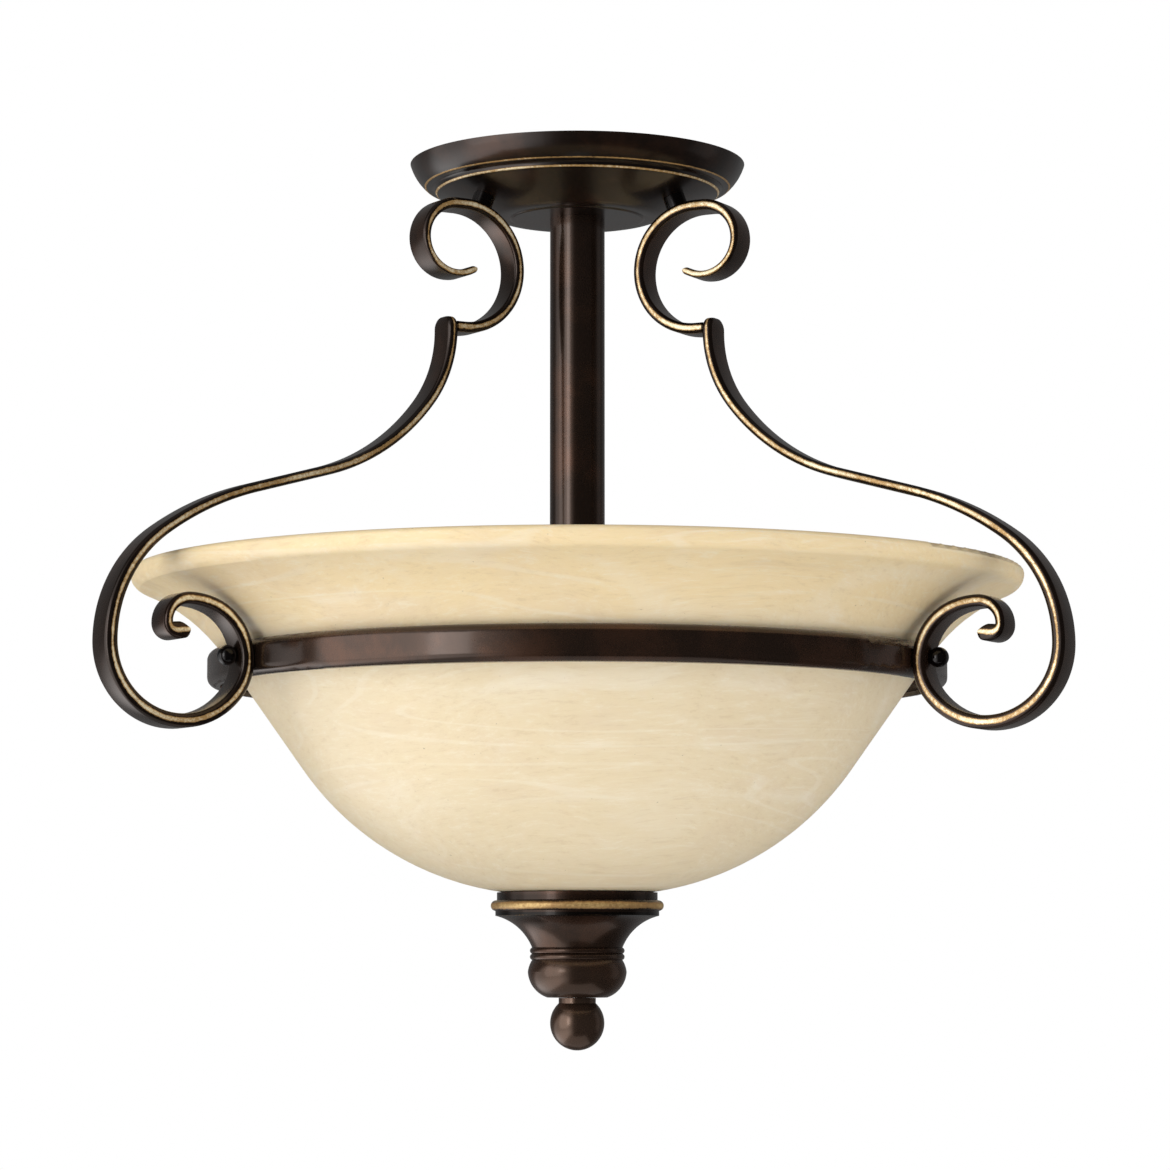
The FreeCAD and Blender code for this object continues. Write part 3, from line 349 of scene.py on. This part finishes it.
alabaster = {
    "cream": (0.84, 0.70, 0.47),
    "amber": (0.91, 0.71, 0.40),
    "tan": (0.62, 0.45, 0.25),
    "rose": (0.74, 0.58, 0.42),
    "milk": (0.95, 0.87, 0.71),
    "dot": (0.30, 0.21, 0.11),
    "amberRange": (-0.238, -0.212),      # heights between which cream turns to amber
    "amberShare": 0.75,
    "drift": (4.0, 3, 0.5),              # bends the grain and the wisps
    "noises": {                          # stretch, share of the drift, noise
        "cloud": ((1.0, 1.0, 1.8), 0, (17.0, 4, 0.55, 0.5)),
        "grain": ((1.0, 1.0, 6.0), 0.5, (75.0, 6, 0.80, 0.2)),
        "wisp": ((0.35, 0.35, 12.0), 0.9, (7.0, 6, 0.60, 0.4)),
        "veil": ((0.7, 0.7, 8.0), 0, (3.4, 2, 0.35)),
        "speck": ((1.0, 1.0, 1.0), 0, (560.0, 1, 0.5)),
    },
    "clouding": [                        # noise, from, to, share, colour
        ("cloud", 0.52, 0.70, 0.22, "rose"),
        ("cloud", 0.46, 0.32, 0.20, "milk"),
        ("grain", 0.51, 0.66, 0.34, "milk"),
        ("grain", 0.48, 0.34, 0.26, "tan"),
    ],
    "strands": [(0.50, 0.010), (0.60, 0.008), (0.42, 0.007)],      # where in the veil, half width
    "strandRange": (0.40, 0.56),         # clouds in which the strands show
    "strandShare": 0.24,
    "wispMilk": (0.55, 0.70),
    "wispMilkShare": 0.30,
    "wispTan": (0.45, 0.30),
    "wispTanShare": (0.10, 0.22),        # everywhere, and added in the upper part
    "speckRange": (0.78, 0.82),
    "speckShare": 0.5,
    "roughness": 0.36,
    "cloudRough": 0.10,
    "grainRough": 0.06,
    "specular": 0.4,
    "subsurface": 0.12,
    "glowRadius": (0.9, 0.6, 0.3),
    "glow": 0.004,
    "grainBump": 0.12,
    "bump": 0.10,
    "reliefDepth": 0.0004,
}


def alabasterFinish():
    # cream glass with soft clouds, a fine level grain and long level wisps, more amber above the ring
    look = alabaster
    sh = Shader("alabasterGlass")
    here = sh.place()
    drift = sh.noise(here, *look["drift"])
    noises = {}
    for kind, (stretch, bend, noise) in look["noises"].items():
        place = here * Vector(stretch)
        if bend:
            place = place + drift * bend
        noises[kind] = sh.noise(place, *noise)
    cloud, grain, wisp = noises["cloud"], noises["grain"], noises["wisp"]
    upper = sh.rise(sh.part(here, "Z"), *look["amberRange"])
    colour = sh.blend(upper * look["amberShare"], look["cream"], look["amber"])
    for kind, low, high, share, tint in look["clouding"]:
        colour = sh.blend(sh.rise(noises[kind], low, high) * share, colour, look[tint])
    strand = 0
    for middle, width in look["strands"]:
        strand = sh.line(noises["veil"], middle, width) + strand
    strand = strand * sh.rise(cloud, *look["strandRange"]) * look["strandShare"]
    everywhere, above = look["wispTanShare"]
    colour = sh.blend(strand, colour, look["milk"])
    colour = sh.blend(sh.rise(wisp, *look["wispMilk"]) * look["wispMilkShare"], colour, look["milk"])
    colour = sh.blend(sh.rise(wisp, *look["wispTan"]) * (everywhere + upper * above), colour, look["tan"])
    colour = sh.blend(sh.rise(noises["speck"], *look["speckRange"]) * look["speckShare"], colour, look["dot"])
    rough = look["roughness"] + (cloud - 0.5) * look["cloudRough"] + (grain - 0.5) * look["grainRough"]
    return sh.finish(sh.skin({
        "Base Color": colour,
        "Roughness": rough,
        "Specular IOR Level": look["specular"],
        "Subsurface Weight": look["subsurface"],
        "Subsurface Radius": look["glowRadius"],
        "Subsurface Scale": look["glow"],
        "Normal": sh.bump(cloud + grain * look["grainBump"], look["bump"], look["reliefDepth"]),
    }))


finishes["glass"] = alabasterFinish()

workshop = {
    "grime": (70.0, 5, 0.6),
    "grimeRange": (0.42, 0.68),
    "grimeDark": 0.72,
    "grimeRough": 0.2,
    "scratch": (500.0, 3, 0.6),
    "scratchStretch": (1.0, 1.0, 14.0),
    "scratchBump": 0.2,
    "scratchDepth": 0.00003,
}


def plainMetal(name, colour, roughness, brushed, metallic=1.0):
    sh = Shader(name)
    here = sh.place()
    grime = sh.noise(here, *workshop["grime"])
    scratch = sh.noise(here * Vector(workshop["scratchStretch"]), *workshop["scratch"])
    dirty = tuple(c * workshop["grimeDark"] for c in colour)
    return sh.finish(sh.skin({
        "Base Color": sh.blend(sh.rise(grime, *workshop["grimeRange"]), colour, dirty),
        "Metallic": metallic,
        "Roughness": roughness + (grime - 0.5) * workshop["grimeRough"] + (scratch - 0.5) * brushed,
        "Normal": sh.bump(scratch, workshop["scratchBump"], workshop["scratchDepth"]),
    }))


moulded = {
    "cloud": (45.0, 4, 0.6),
    "cloudRange": (0.4, 0.65),
    "cloudDark": 0.86,
    "pores": (600.0, 3, 0.6),
    "poreRough": 0.15,
    "poreBump": 0.3,
    "poreDepth": 0.00004,
}


def softSkin(name, colour, roughness, settings=None):
    sh = Shader(name)
    here = sh.place()
    cloud, pores = (sh.noise(here, *moulded[kind]) for kind in ("cloud", "pores"))
    darker = tuple(c * moulded["cloudDark"] for c in colour)
    return sh.finish(sh.skin({
        "Base Color": sh.blend(sh.rise(cloud, *moulded["cloudRange"]), colour, darker),
        "Roughness": roughness + (pores - 0.5) * moulded["poreRough"],
        "Normal": sh.bump(pores, moulded["poreBump"], moulded["poreDepth"]),
        **(settings or {}),
    }))


frosted = {"Subsurface Weight": 0.3, "Subsurface Scale": 0.01}
finishes.update({
    "zinc": plainMetal("zincSteel", (0.62, 0.62, 0.60), 0.34, 0.2),
    "brass": plainMetal("brassTube", (0.78, 0.58, 0.27), 0.28, 0.1),
    "cap": plainMetal("lampCap", (0.80, 0.80, 0.79), 0.30, 0.2),
    "green": plainMetal("greenScrew", (0.03, 0.22, 0.07), 0.35, 0.1, 0.4),
    "holder": softSkin("holderPlastic", (0.80, 0.77, 0.70), 0.35),
    "lamp": softSkin("frostedLamp", (0.92, 0.92, 0.90), 0.45, frosted),
    "gasket": softSkin("gasketRubber", (0.80, 0.79, 0.75), 0.7),
})

wearing = {
    "canopy": ["canopy"],
    "stem": ["stem_tube", "stem_top_plug", "stem_bottom_plug", "cluster_lid", "cluster_housing"],
    "ring": ["glass_ring"],
    "glass": ["glass_bowl"],
    "cup": ["finial_cup"],
    "bulge": ["finial_bulge"],
    "ball": ["finial_ball"],
    "zinc": ["mounting_strap", "hanging_pipe", "star_washer", "pipe_nut", "canopy_washer", "canopy_nut",
             "arm_screws", "ring_nuts", "centre_rod", "rod_nut_upper", "rod_nut_lower", "clamp_plate",
             "plate_nut"],
    "green": ["earth_screw"],
    "gasket": ["upper_gasket", "lower_gasket"],
    "arm": [stem + name for name in arms for stem in ("arm_bar_", "arm_scroll_")],
    # the collars wear the near-black finish as painted shade
    "ballScrew": [stem + name for name in arms for stem in ("ball_screw_", "arm_collar_")],
    "brass": [stem + name for name in lamps for stem in ("lamp_pipe_", "screw_shell_", "lamp_contact_")],
    "cap": ["lamp_base_" + name for name in lamps],
    "holder": ["lamp_holder_" + name for name in lamps],
    "lamp": ["lamp_glass_" + name for name in lamps],
}

for finish, names in wearing.items():
    for name in names:
        mesh = nodes[name].data
        mesh.materials.clear()
        mesh.materials.append(finishes[finish])


print("bars")

bar = {
    "width": 0.0155,
    "crown": 0.0021,         # how far the narrow sides round over,
    "crownShare": 0.46,      # at most this share of the thickness
    "sideSteps": 7,
    "arcStep": 0.9,          # millimetres between points on round stretches, and on straight ones
    "runStep": 2.0,
    "nub": 0.0052,           # height of the round top of the upright end
    "nubThin": 0.45,         # share of the thickness that it loses
    "nubSteps": 9,
    "nubSpace": 0.0002,      # left free below the nub before the next points
    "tip": 0.0016,           # the free end goes this much past its last stretch
    "tipSteps": 6,
    "tipLeast": 0.06,        # share of the thickness at its very end
    "swellLength": 0.006,    # the tip is forged a little thicker over this length
    "sharpAngle": 50,
}

# millimetres and degrees; x is the distance from the stem's axis
# straight stretches: ("run", length of the upper or outer edge, length of the other edge)
# round stretches: ("left" or "right", radius of the middle line, degrees, thickness there)
bars = {
    "arm_bar_": {
        "start": ((72.8, -77.4976), (67.8, -77.4976)),
        "heading": -90,
        "domed": True,
        "swell": 0.20,
        "steps": [
            ("run", 5.9556, 5.4564),
            ("left", 56.5, 37.6, 5.0),
            ("left", 98.0, 36.8, 5.0),
            ("run", 38.7061, 36.9431),
            ("right", 138.0, 20.2, 5.0),
            ("right", 60.0, 54.2, 3.8),
            ("right", 33.8, 142.7, 6.2),
            ("right", 23.4, 37.3, 6.2),
            ("right", 25.2, 69.5, 5.4),
            ("right", 34.0, 20.5, 5.4),
            ("right", 10.2, 92.0, 5.2),
            ("right", 3.9, 95.0, 6.4),
        ],
    },
    "arm_scroll_": {
        "start": ((67.8, -84.7976), (67.8, -79.7976)),
        "heading": 180,
        "domed": False,
        "swell": 0.12,
        "steps": [
            ("run", 4.1324, 4.1324),
            ("right", 28.4, 180.0, 5.0),
            ("run", 4.3, 4.3),
            ("right", 16.1, 204.0, 4.0),
        ],
    },
}

# one cross section of a bar: its middle, the way across the thickness, the thickness, half the width,
# and how level the bar lies there
Station = namedtuple("Station", "middle across thick half level")


def barEdge(plan, side):
    # points of one edge of a bar; both edges get the same number of points on every stretch
    x, y = plan["start"][side]
    heading = math.radians(plan["heading"])
    points = [(x, y, heading)]
    for step in plan["steps"]:
        if step[0] == "run":
            length = step[1 + side]
            count = max(2, round(step[1] / bar["runStep"]))
            for k in range(1, count + 1):
                far = length * k / count
                points.append((x + far * math.cos(heading), y + far * math.sin(heading), heading))
        else:
            way, middleRadius, degrees, thick = step
            turn = 1 if way == "left" else -1
            radius = middleRadius - turn * (1 - 2 * side) * thick / 2
            reach = turn * radius
            centreX, centreY = x - reach * math.sin(heading), y + reach * math.cos(heading)
            sweep = math.radians(degrees)
            count = max(4, round(sweep * (middleRadius + thick / 2) / bar["arcStep"]))
            for k in range(1, count + 1):
                at = heading + turn * sweep * k / count
                points.append((centreX + reach * math.sin(at), centreY - reach * math.cos(at), at))
        x, y, heading = points[-1]
    return points


def barStations(plan):
    stations = []
    for (leftX, leftY, at), (rightX, rightY, _) in zip(barEdge(plan, 0), barEdge(plan, 1)):
        middle = Vector(((leftX + rightX) / 2, 0, (leftY + rightY) / 2)) * millimetre
        span = Vector((leftX - rightX, 0, leftY - rightY)) * millimetre
        stations.append(Station(middle, span.normalized(), span.length, bar["width"] / 2, abs(math.cos(at))))
    ahead = Vector((math.cos(at), 0, math.sin(at)))
    if plan["domed"]:
        stations = domedTop(stations)
    return roundTip(swelledEnd(stations, plan["swell"]), ahead)


def domedTop(stations):
    # the upright end is rounded across its width
    top = stations[0]
    dome = []
    for k in range(bar["nubSteps"] + 1):
        lean = math.pi / 2 * k / bar["nubSteps"]
        fall, thin = bar["nub"] * (1 - math.sin(lean)), 1 - math.cos(lean)
        dome.append(top._replace(middle=top.middle - Vector((0, 0, fall)),
                                 thick=top.thick * (1 - bar["nubThin"] * thin),
                                 half=top.half - bar["nub"] * thin))
    foot = dome[0].middle.z - bar["nubSpace"]
    return dome[::-1] + [one for one in stations if one.middle.z < foot]


def swelledEnd(stations, swell):
    # only in the bar's second half, because a scroll's first half may pass close to its free end
    end = stations[-1].middle
    swelled = []
    for k, one in enumerate(stations):
        near = max(0.0, 1 - (one.middle - end).length / bar["swellLength"])
        if k > len(stations) / 2:
            one = one._replace(thick=one.thick * (1 + swell * near * (2 - near)))
        swelled.append(one)
    return swelled


def roundTip(stations, ahead):
    # the free end rounds over like the tip of a finger
    last = stations[-1]
    tip = []
    for k in range(1, bar["tipSteps"] + 1):
        lean = math.pi / 2 * k / bar["tipSteps"]
        beyond = bar["tip"] + last.thick / 2 * math.sin(lean)
        tip.append(last._replace(middle=last.middle + ahead * beyond,
                                 thick=last.thick * max(bar["tipLeast"], math.cos(lean))))
    return stations + tip


def barSection(thick, half):
    # closed section round the bar: place across the thickness, along the width, and distance below the crown
    crown = min(bar["crown"], thick * bar["crownShare"])
    reach = thick / 2 - crown
    section = []
    for side in (1, -1):
        steps = bar["sideSteps"]
        for k in range(2 * steps + 1):
            turn = math.pi / 2 * (1 - k / steps)
            nook = (1 if turn > 0 else -1 if turn < 0 else 0) * reach
            fall = crown * (1 - math.cos(turn))
            section.append((side * (nook + crown * math.sin(turn)), side * (half - fall), fall))
    return section


def makeBar(name, plan, azimuth):
    turn = Matrix.Rotation(math.radians(azimuth), 4, "Z")
    stations = barStations(plan)
    verts, faces, marks = [], [], []
    for one in stations:
        section = barSection(one.thick, one.half)
        for across, along, fall in section:
            verts.append(turn @ (one.middle + one.across * across + Vector((0, along, 0))))
            marks.append((across / millimetre, fall / millimetre, one.level))
    around = len(section)
    for k in range(len(stations) - 1):
        for j in range(around):
            a, b = k * around + j, k * around + (j + 1) % around
            faces.append((a, b, b + around, a + around))
    faces.append(tuple(reversed(range(around))))
    faces.append(tuple(range(len(verts) - around, len(verts))))
    mesh = bpy.data.meshes.new(name)
    mesh.from_pydata(verts, [], faces)
    mesh.update()
    places = mesh.attributes.new("barPlace", "FLOAT_VECTOR", "POINT")
    for place, mark in zip(places.data, marks):
        place.vector = mark
    mesh.shade_smooth()
    mesh.set_sharp_from_angle(angle=math.radians(bar["sharpAngle"]))
    mesh.materials.append(finishes["arm"])
    made = bpy.data.objects.new(name, mesh)
    bpy.context.scene.collection.objects.link(made)
    return made


for stem, plan in bars.items():
    for name, azimuth in arms.items():
        made = makeBar("forged_" + stem + name, plan, azimuth)
        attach(made, "fixture")
        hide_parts(stem + name)


print("studio")

studio = {
    "aim": (0, 0, -0.2),
    "lights": {              # place, size, watts
        "keyBox": ((-1.26, -1.55, -0.10), (0.45, 1.1), 5.0),
        "sidePanel": ((-1.77, -0.94, -0.20), (1.6, 1.8), 10.8),
        "fillBox": ((1.9, 0.3, -0.2), (0.8, 1.8), 0.8),
        "topBox": ((-0.2, -0.3, 1.5), (1.8, 1.8), 1.5),
    },
}

# light from all round; ranges are of the direction's height, or of its share towards frontWay
daylight = {
    "strength": 0.86,
    "above": 0.45,           # share of it that comes from overhead,
    "aboveRange": (0.05, 0.75),
    "under": 1.15,           # from below,
    "underRange": (-0.1, -0.7),
    "front": 1.18,           # from the camera's side,
    "rear": 0.78,            # and from behind
    "frontWay": (0.45, -0.893, 0.0),
    "frontRange": (-0.6, 0.9),
}

# what metal and glass see: a bright left side, brighter low down, and a dim room before and behind the light;
# with plain white all round, the dark bronze turns grey at its edges
mirrored = {
    "left": 1.1,
    "leftRange": (-0.20, -0.65),
    "leftBackRange": (0.52, 0.22),       # it ends behind the light, the sooner the higher
    "leftBackLean": 0.9,
    "lowLeft": 1.8,
    "lowLeftRange": (-0.25, -0.60),
    "before": 0.045,
    "behind": 0.15,
    "behindRange": (0.0, 0.9),
    "below": 0.25,           # share of the room that shows straight below
    "belowRange": (-0.90, -0.30),
}


def areaLight(name, place, size, watts):
    data = bpy.data.lights.new(name, "AREA")
    data.shape = "RECTANGLE"
    data.size, data.size_y = size
    data.energy = watts
    box = bpy.data.objects.new(name, data)
    box.location = place
    box.rotation_euler = (Vector(studio["aim"]) - Vector(place)).to_track_quat("-Z", "Y").to_euler()
    bpy.context.scene.collection.objects.link(box)


def lightWorld():
    world = bpy.data.worlds.new("studio")
    world.use_nodes = True
    bpy.context.scene.world = world
    sh = Shader("studio", world.node_tree)
    way = sh.node("ShaderNodeTexCoord", out="Generated")
    x, y, z = (sh.part(way, axis) for axis in "XYZ")

    ambient = sh.rise(z, *daylight["aboveRange"], 1.0, daylight["above"]) * daylight["strength"]
    ambient = ambient * sh.rise(z, *daylight["underRange"], 1.0, daylight["under"])
    towards = sh.along(way, Vector(daylight["frontWay"]))
    ambient = ambient * sh.rise(towards, *daylight["frontRange"], daylight["rear"], daylight["front"])

    left = sh.rise(x, *mirrored["leftRange"], 0.0, mirrored["left"])
    left = left * sh.rise(y + z * mirrored["leftBackLean"], *mirrored["leftBackRange"])
    left = left * sh.rise(z, *mirrored["lowLeftRange"], 1.0, mirrored["lowLeft"])
    room = sh.rise(y, *mirrored["behindRange"], mirrored["before"], mirrored["behind"])
    room = room * sh.rise(z, *mirrored["belowRange"], mirrored["below"], 1.0)

    seen = sh.ray("Camera")
    mirror = sh.larger(sh.ray("Glossy"), sh.ray("Transmission"))
    strength = ambient * (1 - mirror) + sh.larger(left, room) * mirror
    strength = strength * (1 - seen) + seen          # the camera sees plain white
    back = sh.node("ShaderNodeBackground", None, {"Color": (1, 1, 1), "Strength": strength})
    sh.node("ShaderNodeOutputWorld", None, {"Surface": back})


floorLook = {
    "height": -2.4,
    "size": 2.6,
    "pale": (0.93, 0.93, 0.925),
    "paler": (0.96, 0.96, 0.955),
    "grain": (3.0, 4, 0.5),
    "roughness": 0.8,
    "glow": 0.6,             # share of plain white in what the camera sees of it
}


def paleFloor():
    sh = Shader("paleFloor")
    grain = sh.noise(sh.place(), *floorLook["grain"])
    skin = sh.skin({"Base Color": sh.blend(grain, floorLook["pale"], floorLook["paler"]),
                    "Roughness": floorLook["roughness"]})
    white = sh.node("ShaderNodeEmission", None, {"Color": (1, 1, 1), "Strength": 1.0})
    seen = (sh.ray("Camera") + sh.ray("Transmission")) * floorLook["glow"]
    return sh.finish(sh.node("ShaderNodeMixShader", None, {0: seen, 1: skin, 2: white}))


def layFloor():
    half, low = floorLook["size"] / 2, floorLook["height"]
    mesh = bpy.data.meshes.new("floor")
    mesh.from_pydata([(-half, -half, low), (half, -half, low), (half, half, low), (-half, half, low)], [],
                     [(0, 1, 2, 3)])
    mesh.materials.append(paleFloor())
    floor = bpy.data.objects.new("floor", mesh)
    bpy.context.scene.collection.objects.link(floor)


for name, (place, size, watts) in studio["lights"].items():
    areaLight(name, place, size, watts)
lightWorld()
layFloor()
view = bpy.context.scene.view_settings
view.view_transform = "Standard"

print("done")
